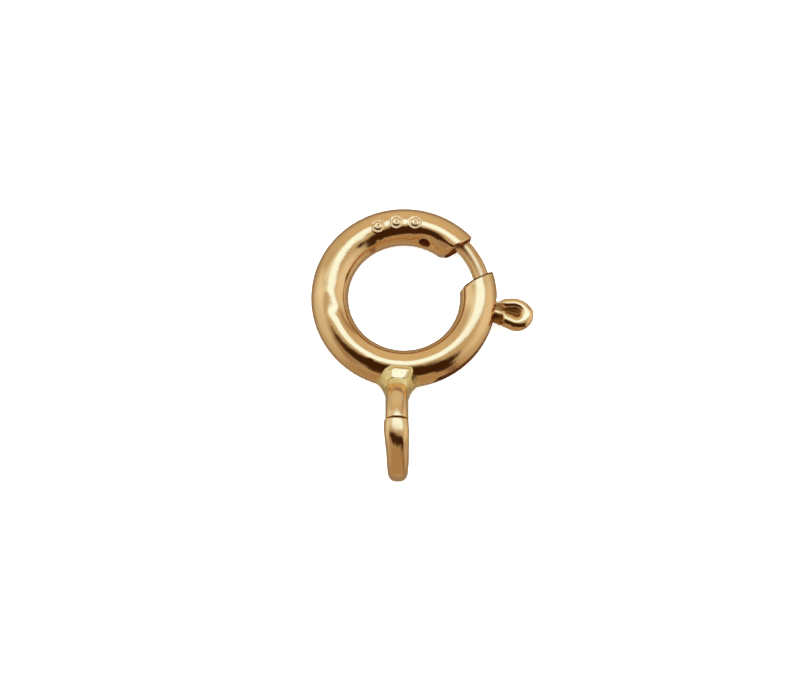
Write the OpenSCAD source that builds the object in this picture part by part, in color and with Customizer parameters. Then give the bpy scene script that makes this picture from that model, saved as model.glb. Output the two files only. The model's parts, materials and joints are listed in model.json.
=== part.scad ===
// Spring ring clasp: a hollow round ring with a mouth, a sprung tongue that
// closes the mouth and slides back into the ring by its trigger, and an open
// wire eye soldered to the ring's foot.
//
// Millimetres, +Z up. The clasp lies by itself on the surface z = 0: the far
// side of the ring and the lowest point of the eye touch it. +Y runs from the
// eye to the ring, and the origin is under the middle of the whole clasp.
// Angles round the ring are counted anticlockwise from +X, seen from above.

/* [Ring] */
// Outside diameter of the ring
ring_od = 6; // [5:0.1:7]
// Diameter of the tube that the ring is bent from
tube_d = 1.2; // [1.1:0.05:1.3]
// Thickness of the tube's wall
tube_wall = 0.12; // [0.1:0.01:0.15]

/* [Mouth] */
// Place of the tube's upper end round the ring, degrees
upper_end_angle = 44.3; // [42:0.1:47]
// Turn of the upper end's cut from square, degrees
upper_end_skew = -5; // [-8:0.5:0]
// Place of the tube's lower end round the ring, degrees
lower_end_angle = 14.4; // [12:0.1:16]
// Turn of the lower end's cut from square, degrees
lower_end_skew = 12.5; // [6:0.5:14]
// Slant of both cuts, whose front edges lie nearer the trigger, degrees
mouth_slant = 9.5; // [0:0.5:11]

/* [Tongue] */
// Diameter of the tongue's wire
tongue_wire_d = 0.46; // [0.42:0.01:0.47]
// How far the tongue lies outside the middle of the tube
tongue_shift = 0.18; // [0.12:0.01:0.2]
// Place of the tongue's tip round the ring, degrees
tongue_tip_angle = 52; // [50:0.5:55]
// Place of the tongue's hidden foot round the ring, degrees
tongue_foot_angle = -50; // [-52:0.5:-46]
// Diameter of the foot that pushes the spring
foot_d = 0.78; // [0.7:0.01:0.8]
// Length of the foot round the ring, degrees
foot_span = 4; // [3:0.5:5]

/* [Trigger] */
// Place of the trigger round the ring, degrees
trigger_angle = -8.8; // [-10:0.1:-8]
// Distance from the ring's middle to the middle of the trigger's loop
trigger_reach = 3.72; // [3.66:0.01:3.8]
// Bend radius of the loop, at the middle of the wire
trigger_bend_r = 0.32; // [0.3:0.01:0.34]
// Diameter of the trigger's wire
trigger_wire_d = 0.42; // [0.4:0.01:0.44]
// Distance of each leg from the trigger's axis where it leaves the tongue
leg_root = 0.16; // [0.14:0.01:0.18]
// Thickness of the legs where they are pinched to run in the slot
leg_flat = 0.32; // [0.3:0.01:0.34]
// Thickness of the web that closes the middle of the loop
web_t = 0.12; // [0.1:0.01:0.16]

/* [Slot] */
// Width of the slot along the outside of the ring
slot_w = 0.42; // [0.42:0.01:0.46]
// How far the tongue slides back round the ring, degrees
tongue_travel = 53; // [45:1:54]
// Free angle between the legs and each end of the slot, degrees
slot_end_play = 1.5; // [1.2:0.1:2]

/* [Spring] */
// Outside diameter of the coil
coil_od = 0.7; // [0.66:0.01:0.72]
// Diameter of the spring's wire
coil_wire_d = 0.12; // [0.1:0.01:0.14]
// Number of turns
coil_turns = 32; // [26:1:36]

/* [Spring stop] */
// Place of the punched hole that holds the spring's far end, degrees
stop_angle = 69.7; // [68:0.1:72]
// Diameter of the punched hole
stop_hole_d = 0.35; // [0.3:0.01:0.38]
// Turn of the hole from the ring's plane towards the front, degrees
stop_hole_lean = 26; // [18:1:30]
// Outside diameter of the wall that is pushed in round the hole
stop_lip_d = 0.5; // [0.46:0.01:0.54]
// How far the lip stands into the tube
stop_lip_h = 0.25; // [0.2:0.01:0.3]

/* [Eye] */
// Outside diameter of the eye
eye_od = 3.15; // [3:0.05:3.3]
// Diameter of the eye's wire
eye_wire_d = 0.73; // [0.68:0.01:0.76]
// Sideways offset of the eye from the ring's middle
eye_offset = -0.2; // [-0.3:0.01:0]
// How deep the eye's wire sits in the wall of the tube
eye_seat = 0.1; // [0.06:0.01:0.12]
// Width of the closed joint where the eye can be opened
eye_joint_gap = 0.02; // [0.02:0.01:0.06]

/* [Solder] */
// Radius of the hollow flare at each side, in the ring's plane
flare_r = 0.7; // [0.6:0.05:0.8]
// Half the thickness of the flare, across the ring's plane
flare_half_t = 0.42; // [0.36:0.01:0.46]
// Radius of the hollow fillet between the tube's face and the eye
fillet_r = 1; // [0.8:0.05:1.2]
// Radius of the round patch of solder on the face of the tube
patch_r = 0.52; // [0.45:0.01:0.55]
// How far the solder's hollows run into the metal that they meet
solder_bite = 0.03; // [0.02:0.01:0.04]

/* [Hidden] */
round_fn = 96;
coil_steps = 10;
coil_sides = 5;
cut_len = 1.2;
past = 0.3;

tube_r = tube_d / 2;
bore_r = tube_r - tube_wall;
ring_r = ring_od / 2 - tube_r;
ring_or = ring_od / 2;
tongue_r = ring_r + tongue_shift;
tongue_wire_r = tongue_wire_d / 2;
trigger_wire_r = trigger_wire_d / 2;

// The trigger's legs start leg_root either side of its axis, on the tongue,
// spread by leg_spread and touch the loop's bend
leg_span = trigger_reach - tongue_r;
leg_reach = sqrt(leg_span * leg_span + leg_root * leg_root);
leg_spread = asin(trigger_bend_r / leg_reach) - atan(leg_root / leg_span);
leg_len = sqrt(leg_reach * leg_reach - trigger_bend_r * trigger_bend_r);
leg_off = leg_root + (ring_or - tongue_r) * tan(leg_spread);

eye_or = eye_od / 2;
eye_wire_r = eye_wire_d / 2;
eye_r = eye_or - eye_wire_r;
eye_ir = eye_r - eye_wire_r;
eye_reach = ring_or + eye_or - eye_seat;

// The legs take this angle either side of the trigger, at the ring's outside
leg_half_angle = asin((leg_off + trigger_wire_r) / ring_or);
slot_high = trigger_angle + leg_half_angle + slot_end_play;
slot_low = trigger_angle - leg_half_angle - tongue_travel - slot_end_play;

// The spring runs clockwise from the foot to the lip of the punched hole
spring_from = tongue_foot_angle - foot_span - 1;
spring_to = stop_angle - 360 + asin((stop_lip_d / 2 + coil_wire_d) / ring_r);
coil_r = (coil_od - coil_wire_d) / 2;

// The ring leans by rest_tilt when its far side and the eye both touch the
// surface, and then its middle lies rest_height above that surface
rest_tilt = asin((eye_or - tube_r) / (eye_reach + ring_r));
rest_height = ring_r * sin(rest_tilt) + tube_r;
far_y = ring_r * cos(rest_tilt) + tube_r;
near_y = -eye_reach * cos(rest_tilt) - eye_or;
wide_x = (trigger_reach + trigger_bend_r + trigger_wire_r) * cos(trigger_angle);

// Puts a shape from the ring's own plane and middle into the resting place
module at_rest() {
    translate([-(wide_x - ring_or) / 2, -(far_y + near_y) / 2, rest_height])
        rotate([-rest_tilt, 0, 0])
            children();
}

// A round bar bent to an arc about the ring's axis
module arc_bar(bend_r, bar_r, from, to) {
    rotate([0, 0, from])
        rotate_extrude(angle = to - from, $fn = round_fn)
            translate([bend_r, 0])
                circle(r = bar_r, $fn = round_fn);
}

// A whole torus about the ring's axis
module torus(bend_r, bar_r) {
    rotate_extrude($fn = round_fn)
        translate([bend_r, 0])
            circle(r = bar_r, $fn = round_fn);
}

// A point of the cut line through one end of the tube, along that line
function cut_point(end_angle, skew, along) =
    [ring_r * cos(end_angle) + along * cos(end_angle + skew),
     ring_r * sin(end_angle) + along * sin(end_angle + skew)];

// The mouth: all that lies between the two cut lines, slanted about the line
// from the ring's middle through the middle of the mouth
module mouth_cut() {
    mouth_angle = (lower_end_angle + upper_end_angle) / 2;
    rotate([0, 0, mouth_angle])
        rotate([mouth_slant, 0, 0])
            rotate([0, 0, -mouth_angle])
                translate([0, 0, -tube_r - past])
                    linear_extrude(height = tube_d + 2 * past)
                        polygon([
                            cut_point(lower_end_angle, lower_end_skew, -cut_len),
                            cut_point(lower_end_angle, lower_end_skew, cut_len),
                            cut_point(upper_end_angle, upper_end_skew, cut_len),
                            cut_point(upper_end_angle, upper_end_skew, -cut_len)
                        ]);
}

// The slot on the outside of the ring, with round ends
module slot_cut() {
    rotate([0, 0, slot_low])
        rotate_extrude(angle = slot_high - slot_low, $fn = round_fn)
            translate([ring_r + bore_r / 2, -slot_w / 2])
                square([tube_r + past, slot_w]);
    for (end = [slot_low, slot_high])
        rotate([0, 0, end])
            translate([ring_r + bore_r / 2, 0, 0])
                rotate([0, 90, 0])
                    cylinder(h = tube_r + past, r = slot_w / 2, $fn = round_fn);
}

// A round bar from the inside of the tube through its inner wall
module stop_bar(bar_r, from, to) {
    rotate([0, 0, stop_angle])
        translate([ring_r, 0, 0])
            rotate([0, stop_hole_lean - 90, 0])
                translate([0, 0, from])
                    cylinder(h = to - from, r = bar_r, $fn = round_fn);
}

// The open eye: a wire ring that stands across the ring's plane
module eye() {
    translate([eye_offset, -eye_reach, 0])
        rotate([0, 90, 0])
            difference() {
                torus(eye_r, eye_wire_r);
                translate([-eye_or - past, -eye_joint_gap / 2, -eye_or])
                    cube([eye_or, eye_joint_gap, eye_od]);
            }
}

// Flare of solder seen from the front: the stretch between the ring and the
// eye's wire, less a circle at each side that all but touches both
module flare_outline() {
    hollow_x = eye_wire_r - solder_bite + flare_r;
    hollow_reach = ring_or - solder_bite + flare_r;
    hollow_y = -sqrt(pow(hollow_reach, 2) - pow(hollow_x, 2));
    foot_half_w = hollow_x * ring_or / hollow_reach;
    difference() {
        translate([-foot_half_w, hollow_y])
            square([2 * foot_half_w, -hollow_y - ring_r]);
        for (side = [-1, 1])
            translate([side * hollow_x, hollow_y])
                circle(r = flare_r, $fn = round_fn);
    }
}

// Fillet of solder seen from the side: a rhomb through the middles of the
// tube, the eye and two circles that all but touch both, less the circles
module fillet_outline() {
    apart = eye_reach - ring_r;
    to_tube = tube_r - solder_bite + fillet_r;
    to_eye = eye_or - solder_bite + fillet_r;
    along = (to_tube * to_tube - to_eye * to_eye + apart * apart) / (2 * apart);
    out = sqrt(to_tube * to_tube - along * along);
    difference() {
        polygon([
            [-ring_r, 0],
            [-ring_r - along, out],
            [-eye_reach, 0],
            [-ring_r - along, -out]
        ]);
        for (side = [-1, 1])
            translate([-ring_r - along, side * out])
                circle(r = fillet_r, $fn = round_fn);
        translate([-eye_reach, 0])
            circle(r = eye_r, $fn = round_fn);
    }
}

// The solder: a flare in the ring's plane, and a fillet over both faces of
// the tube that ends in a round patch
module solder() {
    patch_y = -ring_r - patch_r - solder_bite;
    strip_half_w = eye_wire_r - solder_bite;
    translate([eye_offset, 0, -flare_half_t])
        linear_extrude(height = 2 * flare_half_t)
            flare_outline();
    translate([eye_offset, 0, 0])
        intersection() {
            translate([0, 0, -eye_or])
                linear_extrude(height = eye_od)
                    union() {
                        translate([0, patch_y])
                            circle(r = patch_r, $fn = round_fn);
                        translate([-strip_half_w, -eye_reach])
                            square([2 * strip_half_w, eye_reach + patch_y]);
                    }
            translate([-patch_r, 0, 0])
                rotate([90, 0, 90])
                    linear_extrude(height = 2 * patch_r)
                        fillet_outline();
        }
}

// The hollow ring with its soldered eye
module ring_body() {
    color([0.86, 0.66, 0.40])
        at_rest()
            difference() {
                union() {
                    difference() {
                        union() {
                            torus(ring_r, tube_r);
                            solder();
                            eye();
                        }
                        torus(ring_r, bore_r);
                    }
                    intersection() {
                        torus(ring_r, tube_r - tube_wall / 2);
                        stop_bar(stop_lip_d / 2, bore_r - stop_lip_h, tube_r);
                    }
                }
                mouth_cut();
                slot_cut();
                stop_bar(stop_hole_d / 2, 0, tube_r + past);
            }
}

// One leg of the trigger, from the tongue to the flank of the loop's bend
module trigger_leg(side) {
    translate([tongue_r, side * leg_root, 0])
        rotate([0, 0, side * leg_spread])
            rotate([0, 90, 0])
                cylinder(h = leg_len, r = trigger_wire_r, $fn = round_fn);
}

// The loop's bend, open towards the ring, and the web inside it
module trigger_loop() {
    bend_to = 90 + leg_spread;
    translate([trigger_reach, 0, 0]) {
        arc_bar(trigger_bend_r, trigger_wire_r, -bend_to, bend_to);
        translate([0, 0, -web_t / 2])
            cylinder(h = web_t, r = trigger_bend_r, $fn = round_fn);
    }
    translate([0, 0, -web_t / 2])
        linear_extrude(height = web_t)
            polygon([
                [tongue_r, -leg_root],
                [trigger_reach, -trigger_bend_r],
                [trigger_reach, trigger_bend_r],
                [tongue_r, leg_root]
            ]);
}

// The trigger: a loop of wire on two legs, pinched flat where they run in the slot
module trigger() {
    pinch_r = ring_or + tube_wall;
    rotate([0, 0, trigger_angle])
        difference() {
            union() {
                trigger_loop();
                trigger_leg(-1);
                trigger_leg(1);
            }
            for (side = [-1, 1])
                translate([0, -tube_d, side > 0 ? leg_flat / 2 : -leg_flat / 2 - tube_r])
                    cube([pinch_r, 2 * tube_d, tube_r]);
        }
}

// The tongue: its round-tipped arc, the foot that pushes the spring, and
// the trigger
module tongue() {
    color([0.84, 0.64, 0.40])
        at_rest() {
            arc_bar(tongue_r, tongue_wire_r, tongue_foot_angle - foot_span / 2,
                tongue_tip_angle);
            rotate([0, 0, tongue_tip_angle])
                translate([tongue_r, 0, 0])
                    sphere(r = tongue_wire_r, $fn = round_fn);
            arc_bar(ring_r, foot_d / 2, tongue_foot_angle - foot_span, tongue_foot_angle);
            trigger();
        }
}

// Point of the coil's wire: t goes from 0 to 1 along the spring, around is
// the angle about the wire itself
function coil_point(t, around) =
    let (
        round_ring = spring_from + t * (spring_to - spring_from),
        turn = t * coil_turns * 360,
        out = coil_r * cos(turn) + coil_wire_d / 2 * cos(around) * cos(turn),
        up = coil_r * sin(turn) + coil_wire_d / 2 * cos(around) * sin(turn),
        ahead = coil_wire_d / 2 * sin(around)
    )
    [(ring_r + out) * cos(round_ring) - ahead * sin(round_ring),
     (ring_r + out) * sin(round_ring) + ahead * cos(round_ring),
     up];

// The spring: a coil bent along the inside of the tube
module spring() {
    rings = coil_turns * coil_steps;
    points = [
        for (i = [0 : rings])
            for (j = [0 : coil_sides - 1])
                coil_point(i / rings, -360 * j / coil_sides)
    ];
    sides = [
        for (i = [0 : rings - 1])
            for (j = [0 : coil_sides - 1])
                let (k = (j + 1) % coil_sides)
                [i * coil_sides + j, i * coil_sides + k,
                 (i + 1) * coil_sides + k, (i + 1) * coil_sides + j]
    ];
    near_end = [for (j = [coil_sides - 1 : -1 : 0]) j];
    far_end = [for (j = [0 : coil_sides - 1]) rings * coil_sides + j];
    color([0.72, 0.70, 0.66])
        at_rest()
            polyhedron(points = points, faces = concat(sides, [near_end, far_end]));
}

ring_body();
tongue();
spring();
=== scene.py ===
"""Looks of a spring ring clasp: a hollow gold ring with a mouth, a sprung tongue
with a looped trigger, and an open wire eye soldered to the ring.

Shapes are worked out in millimetres in the ring's own plane: x to the trigger,
y away from the eye, z out of the ring's face, with the ring's middle at zero.
place() turns them into metres in the shared frame. The angle round the ring is
called arc, and the angle round the tube or a wire is called turn.
"""
import json

import bpy
import numpy as np
from mathutils import Matrix


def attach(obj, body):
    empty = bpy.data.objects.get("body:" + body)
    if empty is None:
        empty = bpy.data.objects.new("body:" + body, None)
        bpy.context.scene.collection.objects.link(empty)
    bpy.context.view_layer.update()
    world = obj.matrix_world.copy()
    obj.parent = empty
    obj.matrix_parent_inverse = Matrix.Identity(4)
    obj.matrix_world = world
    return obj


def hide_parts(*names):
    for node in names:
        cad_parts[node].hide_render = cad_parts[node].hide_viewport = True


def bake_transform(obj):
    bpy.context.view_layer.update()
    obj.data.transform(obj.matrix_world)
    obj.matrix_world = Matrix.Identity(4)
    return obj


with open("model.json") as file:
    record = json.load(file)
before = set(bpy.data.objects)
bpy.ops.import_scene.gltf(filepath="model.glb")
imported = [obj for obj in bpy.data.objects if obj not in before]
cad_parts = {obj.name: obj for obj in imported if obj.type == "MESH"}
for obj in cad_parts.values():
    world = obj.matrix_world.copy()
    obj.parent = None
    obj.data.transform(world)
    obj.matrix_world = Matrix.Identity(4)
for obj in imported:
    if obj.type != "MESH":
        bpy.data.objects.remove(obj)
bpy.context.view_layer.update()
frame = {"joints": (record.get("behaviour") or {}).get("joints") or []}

MM = 0.001
TAU = 2 * np.pi

# Sizes in millimetres. The ring: a hollow tube bent about its middle
RING_R = 2.4
TUBE_R = 0.6
BORE_R = 0.48
RING_OR = RING_R + TUBE_R

# The mouth: where its two cuts meet the tube's middle line, how far each is skewed
# from the radius there, and how steeply it slants from front to back
UPPER_END = np.radians(43.7)
UPPER_SKEW = np.radians(-8)
LOWER_END = np.radians(14.4)
LOWER_SKEW = np.radians(12.5)
UPPER_SLANT = np.tan(np.radians(6.5))
LOWER_SLANT = np.tan(np.radians(9.5))

# The tongue and its foot
TONGUE_R = 2.58
TONGUE_WIRE_R = 0.258
TONGUE_TIP = np.radians(52)
TONGUE_FOOT = np.radians(-50)
FOOT_SPAN = np.radians(4)
FOOT_R = 0.39
FOOT_EDGE = 0.03
FOOT_EDGE_ARC = 0.012

# The trigger: its axis, how far out the middle of its wire reaches, the half
# ellipses of its bend, and half the wire's height in the loop and in the slot
TRIGGER_ARC = np.radians(-8.8)
TRIGGER_END = 3.98
TRIGGER_BEND_R = 0.315
UPPER_BEND = 0.42
LOWER_BEND = 0.31
TRIGGER_WIRE_R = 0.21
LEG_FLAT = 0.16

# The slot on the ring's outside, and the hole punched in its inner wall
SLOT_HALF_W = 0.21
SLOT_FROM = np.radians(-71.5)
SLOT_TO = np.radians(0.9)
HOLE_ARC = np.radians(69.7)
HOLE_TURN = np.radians(154)
HOLE_R = 0.19

# The eye below the ring
EYE_OR = 1.575
EYE_WIRE_R = 0.365
EYE_R = EYE_OR - EYE_WIRE_R
EYE_REACH = RING_OR + EYE_OR - 0.1
EYE_X = -0.23

# The coil in the tube, from the tongue's foot round to its stop
COIL_R = 0.29
COIL_WIRE_R = 0.06
COIL_TURNS = 32
COIL_FROM = np.radians(-55)
COIL_TO = np.radians(-281.4)

# The ring's middle and its own axes, read from the tongue's joint
slide = frame["joints"][0]
RING_MIDDLE = np.array(slide["pos_m"])
NORMAL = -np.array(slide["axis"]) / np.linalg.norm(slide["axis"])
ACROSS = np.array([1.0, 0.0, 0.0])
ALONG = np.cross(NORMAL, ACROSS)


def place(points):
    """Ring-plane millimetres to metres in the shared frame."""
    return RING_MIDDLE + MM * (points @ np.array([ACROSS, ALONG, NORMAL]))


def smooth(t):
    """Goes from 0 to 1 as t does, level at both ends."""
    t = np.clip(t, 0, 1)
    return t * t * (3 - 2 * t)


def over(span, x):
    """Goes from 0 to 1 as x runs over a span, given by its start and length."""
    start, length = span
    return smooth((x - start) / length)


def bump(distance, width):
    """A round hump of height 1, that wide."""
    return np.exp(-(distance / width) ** 2)


# Meshes

def grid_quads(rows, columns, wrap_rows, wrap_columns):
    """The quads of a grid of rows times columns points, as an array with a
    place for each cell; wrapped directions join their last line to the first."""
    index = np.arange(rows * columns).reshape(rows, columns)
    if wrap_rows:
        index = np.vstack([index, index[:1]])
    if wrap_columns:
        index = np.hstack([index, index[:, :1]])
    return np.stack([index[:-1, :-1], index[1:, :-1], index[1:, 1:], index[:-1, 1:]], -1)


def volume_sign(points, quads):
    """Positive when the quads face outwards, from the volume that they hold."""
    a, b, c, d = (points[quads[:, i]] for i in range(4))
    first = np.einsum("ij,ij->i", a, np.cross(b, c)).sum()
    second = np.einsum("ij,ij->i", a, np.cross(c, d)).sum()
    return first + second


def make_piece(name, points, quads, material, body=None, fans=()):
    """A smooth mesh piece from ring-plane points in millimetres, its quads, and
    fans: (pole, loop) pairs that close a loop of points with triangles."""
    points = place(points)
    triangles = [np.stack([np.full(len(loop), pole), loop, np.roll(loop, -1)], -1)
                 for pole, loop in fans]
    centred = points - points.mean(0)
    if volume_sign(centred, quads) < 0:
        quads = quads[:, ::-1]
        triangles = [t[:, ::-1] for t in triangles]
    triangles = np.concatenate(triangles) if triangles else np.zeros((0, 3), int)
    corners = np.concatenate([quads.ravel(), triangles.ravel()]).astype(np.int32)
    counts = np.concatenate([np.full(len(quads), 4), np.full(len(triangles), 3)])
    starts = np.concatenate([[0], np.cumsum(counts)[:-1]]).astype(np.int32)
    mesh = bpy.data.meshes.new(name)
    mesh.vertices.add(len(points))
    mesh.vertices.foreach_set("co", points.astype(np.float32).ravel())
    mesh.loops.add(len(corners))
    mesh.loops.foreach_set("vertex_index", corners)
    mesh.polygons.add(len(counts))
    mesh.polygons.foreach_set("loop_start", starts)
    mesh.update(calc_edges=True)
    mesh.validate()
    mesh.polygons.foreach_set("use_smooth", np.ones(len(mesh.polygons), bool))
    piece = bpy.data.objects.new(name, mesh)
    bpy.context.scene.collection.objects.link(piece)
    mesh.materials.append(material)
    if body:
        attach(piece, body)
    return piece


def make_bar(name, sheet, poles, material, body=None):
    """A piece whose skin is a grid of points, with rows along it and columns round
    it, closed at each end by triangles that meet in a pole."""
    rows, columns = sheet.shape[:2]
    quads = grid_quads(rows, columns, False, True).reshape(-1, 4)
    first = np.arange(columns)
    last = (rows - 1) * columns + first
    fans = [(rows * columns, first), (rows * columns + 1, last[::-1])]
    points = np.concatenate([sheet.reshape(-1, 3), poles])
    return make_piece(name, points, quads, material, body, fans)


def wire(name, path, side, out, half_side, half_out, material, slot, body,
         around=32, edge=0.04, dome=False, square=2.0):
    """A bar along a path of points. side and out point across it at each point,
    half_side and half_out are its half sizes along them; a side that isn't square
    to out leans the section. The section is an ellipse, |x|^square + |y|^square
    = 1, whose faces flatten as square, one number or one for each point, grows
    past 2. Each end is flat with a rounded edge, or a dome."""
    cap_angles = np.radians([90, 72, 54, 36, 18, 0])
    if dome:
        cap_angles = np.radians([90, 82, 72, 62, 52, 42, 32, 22, 11, 0])
    edge_r = half_side[0] if dome else edge

    def cap(i, outward):
        """Points of one end: the section shrinks as it runs on by the edge."""
        keep = 1 - edge_r / half_side[i] * (1 - np.sin(cap_angles[1:]))
        keep = np.append(keep[:-1], [] if dome else [keep[-1], keep[-1] / 2])
        run = edge_r * np.cos(cap_angles[1:])
        run = np.append(run[:-1], [] if dome else [run[-1], run[-1]])
        return path[i] + outward * run[:, None], keep

    ahead = np.gradient(path, axis=0)
    ahead /= np.linalg.norm(ahead, axis=1)[:, None]
    near_path, near_keep = cap(0, -ahead[0])
    far_path, far_keep = cap(-1, ahead[-1])
    near_pole = path[0] - ahead[0] * edge_r
    far_pole = path[-1] + ahead[-1] * edge_r
    n_near, n_far = len(near_keep), len(far_keep)
    spine = np.concatenate([near_path[::-1], path, far_path])
    keep = np.concatenate([near_keep[::-1], np.ones(len(path)), far_keep])
    pick = np.concatenate([np.zeros(n_near, int), np.arange(len(path)),
                           np.full(n_far, len(path) - 1)])
    turn = np.arange(around) * TAU / around
    c, s = np.cos(turn), np.sin(turn)
    power = np.broadcast_to(square, len(path))[pick][:, None]
    bulge = (abs(c) ** power + abs(s) ** power) ** (-1 / power)
    ring = ((c * bulge)[..., None] * (half_side[pick] * keep)[:, None, None]
            * side[pick][:, None]
            + (s * bulge)[..., None] * (half_out[pick] * keep)[:, None, None]
            * out[pick][:, None])
    return make_bar(name, spine[:, None] + ring, [near_pole, far_pole], material,
                    body)


# Rows of points on a flat end, which wire() adds before the path's own rows
CAP_ROWS = 6


# Materials

def principled(name):
    """A new material and its shader node."""
    material = bpy.data.materials.new(name)
    material.use_nodes = True
    return material, material.node_tree.nodes["Principled BSDF"]


def add_node(owner, kind, **values):
    """A node of a material or the world, with the given input values or properties."""
    node = owner.node_tree.nodes.new(kind)
    for key, value in values.items():
        if key in node.inputs:
            node.inputs[key].default_value = value
        else:
            setattr(node, key, value)
    return node


def noise(material, coordinates, scale, detail, distortion=0.0):
    """Noise on object coordinates; scale counts features to a metre."""
    node = add_node(material, "ShaderNodeTexNoise", Scale=scale, Detail=detail,
                    Distortion=distortion)
    material.node_tree.links.new(node.inputs["Vector"], coordinates)
    return node.outputs["Fac"]


def ramp(material, factor, stops):
    """A colour ramp with (place, grey or colour) stops."""
    node = add_node(material, "ShaderNodeValToRGB")
    elements = node.color_ramp.elements
    while len(elements) < len(stops):
        elements.new(0.5)
    for element, (at, colour) in zip(elements, stops):
        element.position = at
        rgb = (colour,) * 3 if np.isscalar(colour) else colour
        element.color = (*rgb, 1)
    material.node_tree.links.new(node.inputs["Fac"], factor)
    return node.outputs["Color"]


def polished_metal(name, light, deep, rough_low, rough_high, wave, scratch):
    """Polished metal: the colour drifts a little between two tones, the gloss
    is uneven, and the surface has a broad and a fine wave and hair scratches."""
    material, shader = principled(name)
    links = material.node_tree.links
    shader.inputs["Metallic"].default_value = 1.0
    where = add_node(material, "ShaderNodeTexCoord").outputs["Object"]
    drift = noise(material, where, 900, 3)
    links.new(shader.inputs["Base Color"], ramp(material, drift, [(0.3, deep), (0.7, light)]))
    patches = noise(material, where, 2600, 5, 0.4)
    links.new(shader.inputs["Roughness"],
              ramp(material, patches, [(0.35, rough_low), (0.75, rough_high)]))
    broad = noise(material, where, 1100, 1)
    hairs_at = add_node(material, "ShaderNodeMapping", vector_type="POINT")
    hairs_at.inputs["Scale"].default_value = (1.0, 9.0, 1.0)
    hairs_at.inputs["Rotation"].default_value = (0.3, 0.2, 0.7)
    links.new(hairs_at.inputs["Vector"], where)
    hairs = noise(material, hairs_at.outputs["Vector"], 9000, 4, 0.2)
    fine = noise(material, where, 4200, 2, 0.3)
    normal = None
    for height, strength, distance in ((broad, wave, 0.00004), (fine, wave, 0.00001),
                                       (hairs, scratch, 0.000004)):
        relief = add_node(material, "ShaderNodeBump", Strength=strength, Distance=distance)
        links.new(relief.inputs["Height"], height)
        if normal:
            links.new(relief.inputs["Normal"], normal)
        normal = relief.outputs["Normal"]
    links.new(shader.inputs["Normal"], normal)
    return material


def washed(material, centre, near, far, colour):
    """Tints a metal's colour round a point, out to a distance in millimetres."""
    shader = material.node_tree.nodes["Principled BSDF"]
    links = material.node_tree.links
    bare = shader.inputs["Base Color"].links[0].from_socket
    where = add_node(material, "ShaderNodeTexCoord").outputs["Object"]
    away = add_node(material, "ShaderNodeVectorMath", operation="DISTANCE")
    links.new(away.inputs[0], where)
    away.inputs[1].default_value = tuple(place(np.array(centre)))
    fade = add_node(material, "ShaderNodeMapRange", interpolation_type="SMOOTHSTEP",
                    **{"From Min": near * MM, "From Max": far * MM})
    links.new(fade.inputs["Value"], away.outputs["Value"])
    mix = add_node(material, "ShaderNodeMix", data_type="RGBA")
    mix.inputs["A"].default_value = (*colour, 1)
    links.new(mix.inputs["Factor"], fade.outputs["Result"])
    links.new(mix.inputs["B"], bare)
    links.new(shader.inputs["Base Color"], mix.outputs["Result"])
    return material


def paint_glow(material, glow):
    """Paints a faint glow onto a metal in a deep place: an emission that stands in for the
    light caught in there.
    """
    shader = material.node_tree.nodes["Principled BSDF"]
    shader.inputs["Emission Color"].default_value = (*glow, 1)
    shader.inputs["Emission Strength"].default_value = 1.0


GOLD_LIGHT, GOLD_DEEP = (0.94, 0.63, 0.34), (0.90, 0.575, 0.29)
SOLDER_LIGHT, SOLDER_DEEP = (0.98, 0.79, 0.42), (0.93, 0.70, 0.30)

GOLD = polished_metal("polished_gold", GOLD_LIGHT, GOLD_DEEP, 0.07, 0.15, 0.3, 0.25)
SOLDER = polished_metal("pale_solder", SOLDER_LIGHT, SOLDER_DEEP, 0.22, 0.4, 0.5, 0.4)
EYE_GOLD = polished_metal("eye_gold", GOLD_LIGHT, GOLD_DEEP, 0.09, 0.19, 0.4, 0.4)
washed(EYE_GOLD, (EYE_X, -RING_OR, 0.0), 1.3, 2.05, (0.94, 0.70, 0.42))
SLID_GOLD = polished_metal("slid_gold", GOLD_LIGHT, GOLD_DEEP, 0.22, 0.32, 0.4, 0.6)
# Dark reddish brown painted on the bore, the linings of the slot and the hole and the rims by
# the mouth: painted shade
BORE_SHADE_GOLD = polished_metal("painted_bore_shade_gold", (0.30, 0.14, 0.05), (0.16, 0.065, 0.02),
                      0.25, 0.42, 0.5, 0.4)
# A faint painted glow in the bore, standing in for light caught in there
paint_glow(BORE_SHADE_GOLD, (0.035, 0.008, 0.002))
# Dark brown painted as shade on the web in the loop's hollow and on the lower leg's flank
SHADE_GOLD = polished_metal("painted_shade_gold", (0.50, 0.24, 0.08), (0.28, 0.125, 0.035),
                       0.25, 0.42, 0.5, 0.4)
STEEL = polished_metal("spring_wire", (0.50, 0.44, 0.36), (0.36, 0.30, 0.23),
                       0.22, 0.4, 0.1, 0.3)


# Ring

def end_arc(end, skew, slope, tube_r, turn):
    """The arc where a cut across the tube meets the tube's surface: the cut is
    a straight line in the ring's plane, skewed from the radius at end, and it
    slants, so that its front edge lies nearer the trigger."""
    reach = RING_R + tube_r * np.cos(turn)
    slant = slope * tube_r * np.sin(turn) / reach
    return end + skew - np.arcsin(RING_R * np.sin(skew) / reach) - slant


def worn_back(turn, tube_r):
    """How far a cut's outermost and innermost corners are worn back, as arc."""
    outermost = bump(np.sin(turn / 2), 0.13)
    innermost = bump(np.cos(turn / 2), 0.16)
    return (0.05 * outermost + 0.03 * innermost) / (RING_R + tube_r * np.cos(turn))


def spread(knots, cells):
    """Lines through the knots, with that many equal cells between each two."""
    lines = [np.linspace(a, b, n, endpoint=False)
             for a, b, n in zip(knots[:-1], knots[1:], cells)]
    return np.concatenate(lines + [[knots[-1]]])


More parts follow.
